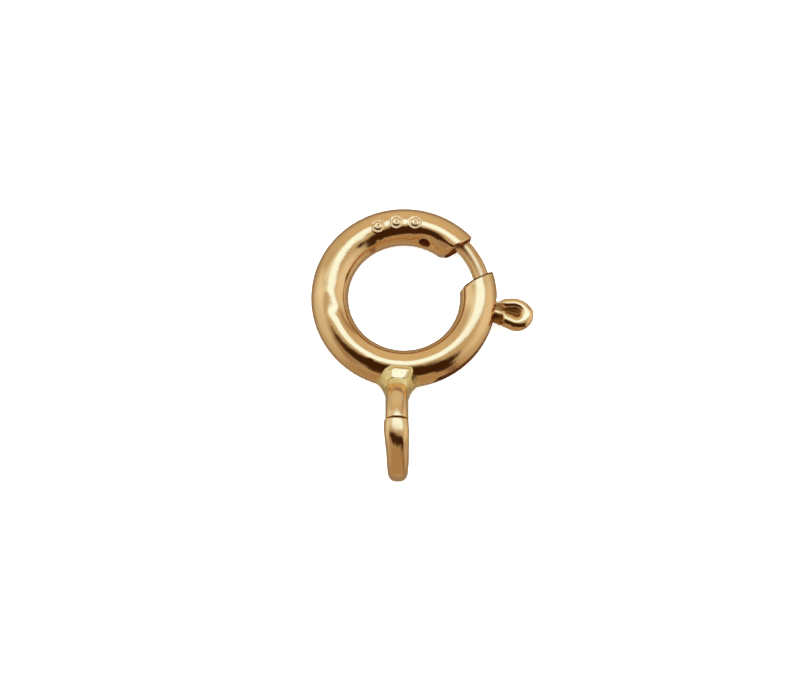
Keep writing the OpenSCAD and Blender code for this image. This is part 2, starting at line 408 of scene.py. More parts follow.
# At the mouth: the bore's radius and how far in it opens out, how far the tube's
# inner side is pressed in, and the arcs over which the lean of the cuts dies out
MOUTH_BORE_R = 0.56
MOUTH_FLARE = 0.25
MOUTH_TUCK = 0.1
UPPER_LEAN = np.radians(16)
LOWER_LEAN = np.radians(13)
# The thin band of outer wall by the lower cut, which is painted in shade
CUT_EDGE = 0.035 / RING_R

# Three plain ring-and-dot punch marks on the ring's face
MARK_ARCS = np.radians([110.5, 96.0, 81.5])
MARK_TURN = np.radians(89)
MARK_R = 0.16
MARK_DEPTH = 0.022

# Low humps and dents of the ring's skin. Each row: arc, turn, how far it spreads
# along the arc and round the tube, in degrees, and its height in millimetres
DENTS = [
    (98, 134, 26, 22, 0.024),
    (92, 110, 26, 14, 0.008),
    (46, 111, 9, 8, 0.012),
    (128, 112, 6, 10, 0.016),
    (114, 128, 3, 7, 0.010),
    (179, 88, 6, 22, 0.026),
    (194, 97, 6, 24, -0.027),
    (166, 98, 6, 8, 0.006),
    (152, 100, 5, 7, 0.004),
    (210, 100, 6, 7, 0.004),
    (238, 42, 14, 20, 0.014),
    (244, 86, 2.5, 5, 0.008),
    (345, 88, 4, 6, 0.003),
]

# The hollow round the punched hole, and a crease beside it
HOLLOW_DEPTH = 0.035
CREASE_DEPTH = 0.012
CREASE_R = 0.31
CREASE_TO = np.radians(-120)

# How the ring's sheet is divided: the arcs near the hole, the turns that hold the
# marks, and the columns over the slot, from there to the marks, over the marks
# and on round the back to the slot
HOLE_ZONE = np.radians([63, 120])
HOLE_ZONE_CELLS = 92
MARK_ZONE = np.radians([78, 130])
SLOT_COLUMNS, SIDE_COLUMNS, MARK_COLUMNS, BACK_COLUMNS = 12, 14, 32, 54


def ring_tube():
    """The hollow ring as one closed sheet. Rows run out along the outside of
    the tube, over the lower rim, back along the bore and over the upper rim;
    columns run round the tube. The slot and the punched hole are left out of
    both walls, and quads between the walls line their edges."""
    slot_from, slot_to = SLOT_FROM + TAU, SLOT_TO + TAU
    end_run = SLOT_HALF_W / RING_OR
    lower_end = LOWER_END + TAU
    knots = np.array([UPPER_END, *HOLE_ZONE, slot_from, slot_from + end_run,
                      slot_to - end_run, slot_to, lower_end - CUT_EDGE, lower_end])
    cells = [14, HOLE_ZONE_CELLS, 116, 7, 44, 7, 12, 1]
    arcs = spread(knots, cells)
    n_arc = len(arcs)
    first_slot = sum(cells[:3])
    last_slot = sum(cells[:6])

    # Rims: the tube's radius and the distance in from the cut, over the edge
    round_out, round_in = 0.022, 0.012
    quarter = np.radians(np.linspace(0, 90, 6))
    rim_r = np.concatenate([TUBE_R - round_out * (1 - np.cos(quarter)),
                            MOUTH_BORE_R + round_in * (1 - np.sin(quarter))])
    rim_in = np.concatenate([round_out * (1 - np.sin(quarter)),
                             round_in * (1 - np.cos(quarter))])
    n_rim = len(rim_r)

    # Columns: fine where the marks are, with lines along the slot's edges
    mark_from, mark_to = MARK_ZONE
    columns = SLOT_COLUMNS + SIDE_COLUMNS + MARK_COLUMNS + BACK_COLUMNS

    def turns(tube_r, half_w):
        """Turn of every column, for rows with that tube radius and slot width."""
        edge = np.arcsin(half_w / tube_r)
        stack = [start + (end - start) * (np.arange(n) / n)[:, None] + 0 * edge
                 for start, end, n in ((-edge, edge, SLOT_COLUMNS),
                                       (edge, mark_from, SIDE_COLUMNS),
                                       (mark_from, mark_to, MARK_COLUMNS),
                                       (mark_to, TAU - edge, BACK_COLUMNS))]
        return np.concatenate(stack).T

    # The slot narrows to round ends; past them its lines open out again
    from_low = (arcs - slot_from) * RING_OR
    from_high = (slot_to - arcs) * RING_OR
    inside = np.minimum(from_low, from_high)
    round_end = np.sqrt(np.clip(1 - (1 - np.clip(inside / SLOT_HALF_W, 0, 1)) ** 2, 0, 1))
    narrow = 0.35
    relaxed = narrow + (1 - narrow) * smooth(-inside / 0.5)
    half_w = SLOT_HALF_W * np.where(inside >= 0, np.maximum(round_end, narrow), relaxed)

    # The bore opens out towards both mouths
    to_mouth = np.minimum(arcs - UPPER_END, lower_end - arcs) * RING_R
    bore = BORE_R + (MOUTH_BORE_R - BORE_R) * (1 - smooth(to_mouth / MOUTH_FLARE))
    wall_r = np.concatenate([np.full(n_arc, TUBE_R), rim_r, bore[::-1], rim_r[::-1]])
    row_half_w = np.concatenate([half_w, np.full(n_rim, SLOT_HALF_W), half_w[::-1],
                                 np.full(n_rim, SLOT_HALF_W)])
    turn = turns(wall_r, row_half_w)
    share = (arcs - UPPER_END) / (lower_end - UPPER_END)
    row_share = np.concatenate([share, np.ones(n_rim), share[::-1], np.zeros(n_rim)])
    row_in = np.concatenate([np.full(n_arc, round_out), rim_in, np.full(n_arc, round_in),
                             rim_in[::-1]])
    # Near the ends the rows lean with the cuts; the lean dies out along the tube
    upper = end_arc(UPPER_END, UPPER_SKEW, UPPER_SLANT, wall_r[:, None], turn) - UPPER_END
    lower = end_arc(LOWER_END, LOWER_SKEW, LOWER_SLANT, wall_r[:, None], turn) - LOWER_END
    nominal = UPPER_END + row_share * (lower_end - UPPER_END)
    near_upper = 1 - smooth((nominal - UPPER_END) / UPPER_LEAN)
    near_lower = 1 - smooth((lower_end - nominal) / LOWER_LEAN)
    reach = RING_R + wall_r[:, None] * np.cos(turn)
    inset = row_in[:, None] / reach + worn_back(turn, wall_r[:, None])
    arc = nominal[:, None] + near_upper[:, None] * (upper + inset)
    arc = arc + near_lower[:, None] * (lower - inset)

    # The hole: cells inside it go, and the lines round it bend to a circle. Lines
    # are counted in whole cells from its middle, and the bend fades out beyond it
    rows = len(wall_r)
    row_r = wall_r[:, None]
    hole_reach = RING_R + row_r * np.cos(HOLE_TURN)
    along = (arc - HOLE_ARC) * hole_reach
    across = (turn - HOLE_TURN) * row_r
    step_a = (HOLE_ZONE[1] - HOLE_ZONE[0]) / HOLE_ZONE_CELLS * hole_reach
    half_a = np.round(HOLE_R / step_a) * step_a
    step_t = (TAU - np.arcsin(SLOT_HALF_W / row_r) - mark_to) / BACK_COLUMNS * row_r
    half_t = np.round(HOLE_R / step_t) * step_t
    snap_a = np.round(along / step_a) * step_a
    snap_t = np.round(across / step_t) * step_t
    level = np.maximum(abs(snap_a) / half_a, abs(snap_t) / half_t)
    unit = np.hypot(snap_a / half_a, snap_t / half_t) + 1e-9
    circle_a = HOLE_R * level * snap_a / half_a / unit
    circle_t = HOLE_R * level * snap_t / half_t / unit
    on_wall = np.concatenate([np.ones(n_arc), np.zeros(n_rim), np.ones(n_arc),
                              np.zeros(n_rim)])[:, None]
    pull = on_wall * (1 - smooth((level - 1) / 1.6)) * (level > 0)
    aside = np.maximum(abs(along), abs(across))
    pull = np.where(aside < 0.8, pull, 0)
    arc = arc + pull * (circle_a - along) / hole_reach
    turn = turn + pull * (circle_t - across) / row_r

    # Relief of the outer wall: the hollow round the hole, the dents and the marks
    outer = np.zeros((rows, 1))
    outer[:n_arc] = 1
    skin_along = (arc - HOLE_ARC) * (RING_R + TUBE_R * np.cos(HOLE_TURN))
    skin_across = (turn - HOLE_TURN) * TUBE_R
    from_hole = np.hypot(skin_along, skin_across)
    relief = -HOLLOW_DEPTH * outer * bump(np.maximum(from_hole - HOLE_R, 0), 0.13)
    toward = np.arctan2(skin_across, skin_along)
    crease = bump(from_hole - CREASE_R, 0.035) * bump(toward - CREASE_TO, 0.6)
    relief = relief - CREASE_DEPTH * outer * crease
    for dent_arc, dent_turn, arc_spread, turn_spread, height in DENTS:
        away_arc = np.degrees(np.mod(arc - np.radians(dent_arc) + np.pi, TAU) - np.pi)
        away_turn = np.degrees(turn) - dent_turn
        relief = relief + outer * height * bump(away_arc, arc_spread) \
            * bump(away_turn, turn_spread)
    for mark in MARK_ARCS:
        away = np.hypot((arc - mark) * (RING_R + TUBE_R * np.cos(MARK_TURN)),
                        (turn - MARK_TURN) * TUBE_R)
        groove = bump(away - MARK_R, 0.035) + 0.9 * bump(away, 0.045)
        burr = bump(away - MARK_R - 0.06, 0.025) + 0.6 * bump(away - MARK_R + 0.065, 0.022)
        relief = relief + outer * MARK_DEPTH * (0.35 * burr - groove)

    # Close to the mouths the tube's inner side is pressed in
    from_end = np.minimum(nominal - UPPER_END, lower_end - nominal) * RING_R
    pressed = MOUTH_TUCK * bump(from_end + row_in, 0.12)[:, None] * np.sin(turn / 2) ** 4
    tube = wall_r[:, None] + relief
    reach = RING_R + pressed + tube * np.cos(turn)
    points = np.stack([reach * np.cos(arc), reach * np.sin(arc), tube * np.sin(turn)], -1)

    # Cells of the slot and the hole
    quads = grid_quads(rows, columns, True, True)
    gone = np.zeros((rows, columns), bool)
    gone[first_slot:last_slot, :SLOT_COLUMNS] = True
    bore_row = n_arc + n_rim
    mirror = bore_row + n_arc - 1
    gone[mirror - last_slot:mirror - first_slot, :SLOT_COLUMNS] = True
    corner_in = (level < 1.001) & (on_wall > 0) & (aside < 0.4)
    block = corner_in & np.roll(corner_in, -1, 0) & np.roll(corner_in, -1, 1) \
        & np.roll(np.roll(corner_in, -1, 0), -1, 1)
    gone |= block
    kept = quads[~gone]

    # Quads from the outer wall's edge to the bore's edge
    index = np.arange(rows * columns).reshape(rows, columns)
    outer_gone = gone[:n_arc - 1]
    partner = index[mirror - np.arange(n_arc)]
    left_edge = outer_gone & ~np.roll(outer_gone, 1, 1)
    right_edge = outer_gone & ~np.roll(outer_gone, -1, 1)
    low_edge = outer_gone & ~np.vstack([np.zeros((1, columns), bool), outer_gone[:-1]])
    high_edge = outer_gone & ~np.vstack([outer_gone[1:], np.zeros((1, columns), bool)])

    def lining(edge, da, db):
        """Quads across the wall below each edge cell, from corner da to db."""
        i, j = np.nonzero(edge)
        ia, ja = i + da[0], (j + da[1]) % columns
        ib, jb = i + db[0], (j + db[1]) % columns
        return np.stack([index[ia, ja], index[ib, jb], partner[ib, jb], partner[ia, ja]], -1)

    lined = np.concatenate([
        lining(left_edge, (0, 0), (1, 0)),
        lining(right_edge, (1, 1), (0, 1)),
        lining(low_edge, (0, 1), (0, 0)),
        lining(high_edge, (1, 0), (1, 1)),
    ])
    points = points.reshape(-1, 3)
    quads = np.concatenate([kept, lined])
    used = np.unique(quads)
    renumber = np.zeros(len(points), int)
    renumber[used] = np.arange(len(used))
    piece = make_piece("ring_tube", points[used], renumber[quads], GOLD, "body")
    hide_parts("ring_body")
    # The bore, the linings of the slot and the hole, the lower rim with a thin band of the
    # outer wall beside it and part of the upper rim are painted a dark brown that stands in
    # for their shade
    row_of = np.concatenate([np.nonzero(~gone)[0], np.full(len(lined), bore_row)])
    shaded_rows = (row_of >= n_arc - 2) & (row_of < bore_row + n_arc + 5)
    piece.data.materials.append(BORE_SHADE_GOLD)
    piece.data.polygons.foreach_set("material_index", shaded_rows.astype(np.int32))
    return piece


# Eye

# The joint's place and half its gap, the rounded edge of the wire's ends, how far
# the wire sways to the right and is pried to the left, its twist in degrees and
# how square its section is
EYE_JOINT = np.radians(-2.6)
EYE_JOINT_HALF = 0.007
EYE_END_EDGE = 0.028
EYE_SWAY = 0.028
EYE_PRIED = 0.02
EYE_TWIST = 5
EYE_SQUARE = 2.15

# Where the wire strays from a plain ring of round wire, in degrees past its joint.
# Each row: height, middle and width of a bump; in millimetres for the radius, and
# as a share for the half widths across the eye's plane and in it
EYE_RADIUS_BUMPS = [(0.062, 25, 14), (-0.012, 54, 16)]
EYE_SIDE_BUMPS = [(0.08, 14, 20), (-0.1, 105, 40)]
EYE_OUT_BUMPS = [(-0.03, 12, 24), (0.04, 105, 30)]
EYE_SQUARE_BUMPS = [(0.7, 16, 18), (0.4, 105, 30), (0.2, 360, 40)]


def eye():
    """The eye: a wire bent to a ring across the ring's plane, from one side of
    its joint round to the other. Below the joint it is nearly straight, then
    bends on sharply and is a little twisted; it is pried a hair sideways there."""
    end = (EYE_JOINT_HALF + EYE_END_EDGE) / EYE_R
    at = np.linspace(EYE_JOINT + end, EYE_JOINT + TAU - end, 240)
    past = np.degrees(at - EYE_JOINT)

    def bumps(rows):
        """The bumps' sum at each point of the wire."""
        return sum(height * bump(past - middle, width) for height, middle, width in rows)

    shift = EYE_SWAY * smooth(past / 70) * (1 - over((150, 70), past))
    shift = shift - EYE_PRIED * (1 - smooth(past / 60))
    radius = EYE_R + bumps(EYE_RADIUS_BUMPS)
    path = np.stack([EYE_X + shift, -EYE_REACH - radius * np.sin(at),
                     radius * np.cos(at)], -1)
    twist = EYE_TWIST * (1 - over((45, 15), past) + bump(past - 38, 7))
    twist = np.radians(twist)[:, None]
    across = np.array([1.0, 0.0, 0.0])
    away = np.stack([0 * at, -np.sin(at), np.cos(at)], -1)
    side = np.cos(twist) * across - np.sin(twist) * away
    out = np.cos(twist) * away + np.sin(twist) * across
    half_side = EYE_WIRE_R * (1 + bumps(EYE_SIDE_BUMPS))
    half_out = EYE_WIRE_R * (1 + bumps(EYE_OUT_BUMPS))
    square = EYE_SQUARE + bumps(EYE_SQUARE_BUMPS)
    return wire("eye_wire", path, side, out, half_side, half_out, EYE_GOLD, "gold", "body",
                around=56, edge=EYE_END_EDGE, square=square)


# Solder

# How wide tube and eye melt together, how deep the collar lies under the melted
# shape, which hides it where there is no solder, how thick it is, and how deep in
# the tube its rays start
SOLDER_BLEND = 0.62
SOLDER_SINK = 0.012
SOLDER_SKIN = 0.07
SEAT_DEPTH = 0.07

# The nugget of solder over the joint and the apron between it and the eye: balls
# cut by flats, each given by a point on it and the way that it faces
NUGGET_TOP = 0.68
NUGGET_FOOT = -2.88
NUGGET_CENTRE = (-0.13, -2.72, 0.20)
NUGGET_R = 0.57
NUGGET_FLATS = [
    ((-0.11, -2.72, NUGGET_TOP), (0.00, -0.02, 1.00)),
    ((-0.13, -2.57, NUGGET_TOP), (0.09, 0.85, 0.52)),
    ((-0.42, -2.71, NUGGET_TOP), (-0.66, -0.10, 0.74)),
    ((0.20, -2.65, NUGGET_TOP), (0.96, 0.10, 0.22)),
    ((0.11, -2.76, NUGGET_TOP), (0.84, -0.48, 0.24)),
    ((-0.15, NUGGET_FOOT, NUGGET_TOP), (-0.05, -0.88, 0.47)),
    ((-0.40, -2.61, NUGGET_TOP), (-0.50, 0.55, 0.66)),
]
APRON_CENTRE = (-0.18, -2.96, 0.36)
APRON_R = 0.36
APRON_FLATS = [
    ((-0.18, -2.96, 0.70), (0.00, 0.26, 0.97)),
]


def smooth_least(a, b, reach):
    """The lesser of two distances, rounded where they are close."""
    near = np.clip(reach - abs(a - b), 0, None) / reach
    return np.minimum(a, b) - near * near * reach / 4


def from_cut_ball(points, centre, radius, flats):
    """Distance from the skin of a ball cut by flats, its edges barely rounded."""
    depth = radius - np.linalg.norm(points - centre, axis=-1)
    for point, facing in flats:
        flat = (points - point) @ (np.array(facing) / np.linalg.norm(facing))
        depth = smooth_least(depth, -flat, 0.015)
    return -depth


def from_solder(points):
    """Distance from the skin of tube, eye and solder melted into one another:
    the tube's torus and the eye's, blended, with nugget and apron on them."""
    x, y, z = points[..., 0], points[..., 1], points[..., 2]
    tube = np.hypot(np.hypot(x, y) - RING_R, z) - TUBE_R
    wire_ring = np.hypot(np.hypot(y + EYE_REACH, z) - EYE_R, x - EYE_X) - EYE_WIRE_R
    ripple = 0.012 * np.sin(9.0 * x + 1.1) * np.sin(7.0 * y + 5.0 * z + 0.4)
    ripple = ripple + 0.006 * np.sin(21.0 * x + 13.0 * y) * np.sin(17.0 * z - 6.0 * x)
    melted = smooth_least(tube, wire_ring, SOLDER_BLEND)
    filled = np.minimum(tube, wire_ring) - melted
    melted = melted + ripple * smooth(filled / 0.06)
    apron = from_cut_ball(points, APRON_CENTRE, APRON_R, APRON_FLATS)
    nugget = from_cut_ball(points, NUGGET_CENTRE, NUGGET_R, NUGGET_FLATS)
    return np.minimum(smooth_least(melted, apron, 0.08), smooth_least(melted, nugget, 0.12))


def solder():
    """The solder as a thin closed collar. Rays leave the seat between tube and
    eye; the collar's outer skin is where they come out of the melted shape, its
    inner skin a little deeper, and both edges end inside the metal."""
    seat = np.array([EYE_X, SEAT_DEPTH - RING_OR, 0.0])
    round_n, depth_n = 200, 90
    about = np.arange(round_n) * TAU / round_n
    # Rays tilt from the way to the ring's middle: the first row ends on the tube,
    # which it climbs furthest in front and behind, and the last on the eye
    lift = np.sin(about) ** 2
    to_right = np.clip(np.cos(about), 0, 1)
    first = np.radians(80 + 7 * to_right - (50 + 7 * to_right) * lift)
    last = np.radians(140 - 17 * lift)
    share = np.linspace(0, 1, depth_n)
    tilt = first[:, None] + share * (last - first)[:, None]
    ray = np.stack([np.sin(tilt) * np.cos(about)[:, None], np.cos(tilt),
                    np.sin(tilt) * np.sin(about)[:, None]], -1)

    def skin(depth):
        """Distance along each ray to the given depth under the skin."""
        low = np.zeros(tilt.shape)
        high = np.full(tilt.shape, 2.2)
        for _ in range(30):
            middle = (low + high) / 2
            outside = from_solder(seat + ray * middle[..., None]) > -depth
            high = np.where(outside, middle, high)
            low = np.where(outside, low, middle)
        return low

    edge = smooth(share / 0.06) * smooth((1 - share) / 0.06)
    outer = skin(SOLDER_SINK + 0.03 * (1 - edge))
    inner = skin(SOLDER_SINK + SOLDER_SKIN)
    sheet = np.concatenate([seat + ray * outer[..., None],
                            (seat + ray * inner[..., None])[:, ::-1]], axis=1)
    rows, columns = sheet.shape[:2]
    quads = grid_quads(rows, columns, True, True).reshape(-1, 4)
    piece = make_piece("solder_joint", sheet.reshape(-1, 3), quads, SOLDER,
                       "body")
    # The nugget's top was rubbed bright
    corners = sheet.reshape(-1, 3)[quads]
    rubbed = (corners[..., 2].min(1) > NUGGET_TOP - SOLDER_SINK - 0.012) \
        & (corners[..., 1].min(1) > NUGGET_FOOT)
    piece.data.materials.append(GOLD)
    piece.data.polygons.foreach_set("material_index", rubbed.astype(np.int32))
    return piece


# Tongue

def round_bar(name, at, bend_r, half, material, **ends):
    """A round bar bent about the ring's middle, through the given arcs."""
    out = np.stack([np.cos(at), np.sin(at), 0 * at], -1)
    up = np.tile([0.0, 0.0, 1.0], (len(at), 1))
    half = np.full(len(at), half)
    return wire(name, out * bend_r, up, out, half, half, material, "gold", "tongue", **ends)


def tongue_arc():
    """The tongue: a round wire bent about the ring's middle, with a domed tip."""
    at = np.linspace(TONGUE_FOOT - FOOT_SPAN / 2, TONGUE_TIP, 120)
    piece = round_bar("tongue_wire", at, TONGUE_R, TONGUE_WIRE_R, SLID_GOLD, around=40,
                      dome=True)
    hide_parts("tongue")
    return piece


def tongue_foot():
    """The foot on the tongue's hidden end, which pushes the spring."""
    at = np.linspace(TONGUE_FOOT - FOOT_SPAN + FOOT_EDGE_ARC, TONGUE_FOOT - FOOT_EDGE_ARC, 8)
    return round_bar("tongue_foot", at, RING_R, FOOT_R, GOLD, edge=FOOT_EDGE)


def trigger_frame(points):
    """From the trigger's own x out and y along the ring to the ring's plane."""
    c, s = np.cos(TRIGGER_ARC), np.sin(TRIGGER_ARC)
    return points @ np.array([[c, s, 0], [-s, c, 0], [0, 0, 1]])


# The trigger's legs: how far beside its axis they leave the tongue, half their
# widths there and, for the loop and the lower leg, where they are full
UPPER_ROOT = 0.205
LOWER_ROOT = -0.13
UPPER_LEG_T = 0.09
LOWER_LEG_T = 0.18
LOOP_HALF_W = TRIGGER_WIRE_R - 0.015
LOWER_WIRE_R = 0.245
LEG_FROM = TONGUE_R + 0.12
LEG_STEPS = 60
LEG_LEAN = 0.65
LOOP_AROUND = 40

# Spans, as start and length out from the ring's middle, in which the legs grow to
# full height and width, and in which the lower leg's lean dies out
HEIGHT_SPAN = (3.04, 0.26)
UPPER_WIDTH_SPAN = (3.02, 0.28)
LOWER_WIDTH_SPAN = (3.22, 0.12)
LEAN_SPAN = (3.2, 0.14)

# The flank painted in shade: so many rows of the lower leg, and its share of the
# # way round the wire
FLANK_ROWS = 40
FLANK_SPAN = (0.55, 0.95)


def trigger_path():
    """The middle of the trigger's wire in its own axes: the upper leg, the bend,
    the lower leg, and the angle at each point of the bend, which is two halves
    of ellipses. Each leg runs straight out while it eases across by a power."""
    bend = np.radians(np.linspace(96, -112, 105))
    run = np.where(bend > 0, UPPER_BEND, LOWER_BEND)
    arc = np.stack([TRIGGER_END - run * (1 - np.cos(bend)),
                    TRIGGER_BEND_R * np.sin(bend)], -1)
    share = np.linspace(0, 1, LEG_STEPS, endpoint=False)

    def leg(root, tip, power):
        """A leg from the tongue: out in a straight line, across by a power."""
        return np.stack([LEG_FROM + share * (tip[0] - LEG_FROM),
                         root + share ** power * (tip[1] - root)], -1)

    upper = leg(UPPER_ROOT, arc[0], 1.4)
    lower = leg(LOWER_ROOT, arc[-1], 1.6)
    return upper, arc, lower, bend


def trigger_loop():
    """The trigger: the wire leaves the tongue as a thin leg, swells, bends
    round in a loop and comes back as a stouter leg. Both legs are pinched thin
    where they pass the slot."""
    upper, arc, lower, bend = trigger_path()
    flat = np.concatenate([upper, arc, lower[::-1]])
    path = np.concatenate([flat, np.zeros((len(flat), 1))], 1)
    ahead = np.gradient(path, axis=0)
    ahead /= np.linalg.norm(ahead, axis=1)[:, None]
    up = np.tile([0.0, 0.0, 1.0], (len(path), 1))
    out = np.cross(ahead, up)
    # The lower leg leans: its crest lies towards the hollow
    lean = np.concatenate([0 * upper[:, 0], 0 * bend,
                           LEG_LEAN * (1 - over(LEAN_SPAN, lower[::-1, 0]))])
    crest = up + lean[:, None] * out
    half_up = LEG_FLAT + (TRIGGER_WIRE_R - LEG_FLAT) * over(HEIGHT_SPAN, path[:, 0])
    # Half width: by distance along the legs, by angle round the bend, where it is
    # swollen at the tip and has a low knuckle just above it
    to_upper = over(UPPER_WIDTH_SPAN, upper[:, 0])
    to_lower = over(LOWER_WIDTH_SPAN, lower[:, 0])
    stout = smooth((0.3 - bend) / 1.6)
    half_out = np.concatenate([
        UPPER_LEG_T + (LOOP_HALF_W - UPPER_LEG_T) * to_upper,
        LOOP_HALF_W + (LOWER_WIRE_R - LOOP_HALF_W) * stout
        + 0.035 * bump(bend, 0.6) + 0.015 * bump(bend - 0.36, 0.1),
        (LOWER_LEG_T + (LOWER_WIRE_R - LOWER_LEG_T) * to_lower)[::-1]])
    square = 2 + 0.5 * np.concatenate([0 * upper[:, 0], bump(bend, 0.9), 0 * lower[:, 0]])
    piece = wire("trigger_loop", trigger_frame(path), trigger_frame(crest),
                 trigger_frame(out), half_up, half_out, GOLD, "gold", "tongue",
                 around=LOOP_AROUND, square=square)
    # The lower leg's outer flank is painted a dark brown that stands in for its shade
    cell = np.arange(len(piece.data.polygons))
    row, column = cell // LOOP_AROUND - CAP_ROWS, cell % LOOP_AROUND
    flank = (column > LOOP_AROUND * FLANK_SPAN[0]) & (column < LOOP_AROUND * FLANK_SPAN[1])
    shaded_flank = (row > len(path) - FLANK_ROWS) & flank
    piece.data.materials.append(SHADE_GOLD)
    piece.data.polygons.foreach_set("material_index", shaded_flank.astype(np.int32))
    return piece


# Where the web starts, half its thickness in its middle, at its edge and in the
# slot, the span in which the edge grows and, by distance from the wire, the one in
# which the height falls; and the grain of metal in it
WEB_FROM = 2.82
WEB_MIDDLE_T = 0.06
WEB_EDGE_T = 0.175
WEB_SLOT_T = 0.07
WEB_EDGE_SPAN = (3.1, 0.3)
WEB_FALL_SPAN = (0.13, 0.19)
GRAIN_AT = (3.545, -0.063)
GRAIN_R = 0.045
GRAIN_RISE = 0.03


def trigger_web():
    """The web that closes the hollow of the loop, painted a dark brown that stands in
    for the hollow's shade: a dish between the wire's middle lines, whose height falls
    with the distance from them. Its edges end inside the wire, and one small grain of
    metal is left in it."""
    upper, arc, lower, bend = trigger_path()
    above = np.concatenate([upper, arc[bend > 0]])
    below = np.concatenate([lower, arc[bend < 0][::-1]])
    share = np.sin(np.radians(np.linspace(0, 90, 56)))
    along = WEB_FROM + share * (TRIGGER_END - 0.01 - WEB_FROM)
    top = np.interp(along, above[:, 0], above[:, 1])
    bottom = np.interp(along, below[:, 0], below[:, 1])
    across = np.linspace(-1, 1, 25)
    y = ((top + bottom) / 2)[:, None] + ((top - bottom) / 2)[:, None] * across
    x = np.broadcast_to(along[:, None], y.shape)
    line = np.concatenate([above, below])
    away = np.hypot(x[..., None] - line[:, 0], y[..., None] - line[:, 1]).min(-1)
    edge = WEB_SLOT_T + (WEB_EDGE_T - WEB_SLOT_T) * over(WEB_EDGE_SPAN, x)
    rise = edge - (edge - WEB_MIDDLE_T) * over(WEB_FALL_SPAN, away)
    from_grain = np.hypot(x - GRAIN_AT[0], y - GRAIN_AT[1])
    rise = rise + GRAIN_RISE * bump(from_grain, GRAIN_R)
    front = np.stack([x, y, rise], -1)
    back = np.stack([x, y, -rise], -1)[:, ::-1]
    sheet = np.concatenate([front, back], axis=1)
    poles = np.stack([sheet[0].mean(0), sheet[-1].mean(0)])
    return make_bar("trigger_web", trigger_frame(sheet), trigger_frame(poles), SHADE_GOLD,
                    "tongue")


# Spring

COIL_PARTS = 4


def coil_point(t, turn=0.0, wire_r=0.0):
    """A point on the coil: t goes from 0 at the tongue's foot to 1 at the far
    end, turn goes round the wire."""
    arc = COIL_FROM + t * (COIL_TO - COIL_FROM)
    wind = t * COIL_TURNS * TAU
    out = COIL_R + wire_r * np.cos(turn)
    reach = RING_R + out * np.cos(wind)
    ahead = wire_r * np.sin(turn)
    return np.stack([reach * np.cos(arc) - ahead * np.sin(arc),
                     reach * np.sin(arc) + ahead * np.cos(arc),
                     out * np.sin(wind)], -1)


def spring_part(number):
    """One length of the coil."""
    t_from, t_to = number / COIL_PARTS, (number + 1) / COIL_PARTS
    steps, around = 24 * COIL_TURNS // COIL_PARTS, 10
    t = np.linspace(t_from, t_to, steps + 1)
    turn = -np.arange(around) * TAU / around
    sheet = coil_point(t[:, None], turn[None, :], COIL_WIRE_R)
    piece = make_bar(f"spring_coil_{number + 1}", sheet, coil_point(t[[0, -1]]), STEEL)
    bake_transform(piece)
    return piece


ring_tube()
eye()
solder()
tongue_arc()
tongue_foot()
trigger_loop()
trigger_web()
coil = [spring_part(number) for number in range(COIL_PARTS)]
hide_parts("spring")


# Floor and backdrop

FLOOR_R = 1.2


def pale_paper(name, grey, glow):
    """Plain pale paper; glow keeps the backdrop even where no lamp reaches."""
    material, shader = principled(name)
    shader.inputs["Base Color"].default_value = (grey, grey, grey, 1)
    shader.inputs["Roughness"].default_value = 0.9
    shader.inputs["Emission Color"].default_value = (1, 1, 1, 1)
    shader.inputs["Emission Strength"].default_value = glow
    return material


def stage_disc():
    """The floor, and a dome over it that only the camera sees. The floor is a
    disc of rings of points; the dome is half a sphere in the same way."""
    around, rows = 64, 16
    turn = np.arange(around) * TAU / around
    spoke = np.stack([np.cos(turn), np.sin(turn), 0 * turn], -1)
    for name, height in (("floor", 0.0), ("backdrop", FLOOR_R)):
        rise = np.linspace(0.02, 1, rows) * np.pi / 2
        rings = FLOOR_R * np.sin(rise)[:, None, None] * spoke
        rings[..., 2] = height * np.cos(rise)[:, None]
        points = np.concatenate([rings.reshape(-1, 3), [[0, 0, height]]])
        quads = grid_quads(rows, around, False, True).reshape(-1, 4)
        pole = [(rows * around, int(i), int(j))
                for i, j in zip(range(around), np.roll(range(around), -1))]
        mesh = bpy.data.meshes.new(name)
        mesh.from_pydata(points.tolist(), [], quads.tolist() + pole)
        piece = bpy.data.objects.new(name, mesh)
        bpy.context.scene.collection.objects.link(piece)
        piece.visible_glossy = False
        if height:
            mesh.materials.append(pale_paper("backdrop_paper", 0.0, 1.0))
            piece.visible_diffuse = False
            piece.visible_shadow = False
        else:
            mesh.materials.append(pale_paper("floor_paper", 0.95, 0.3))


stage_disc()


# Light

# Directions are given as the photograph sees them: degrees to the right and up
# of the way back to the camera
VIEW_TILT = np.radians(9.65)

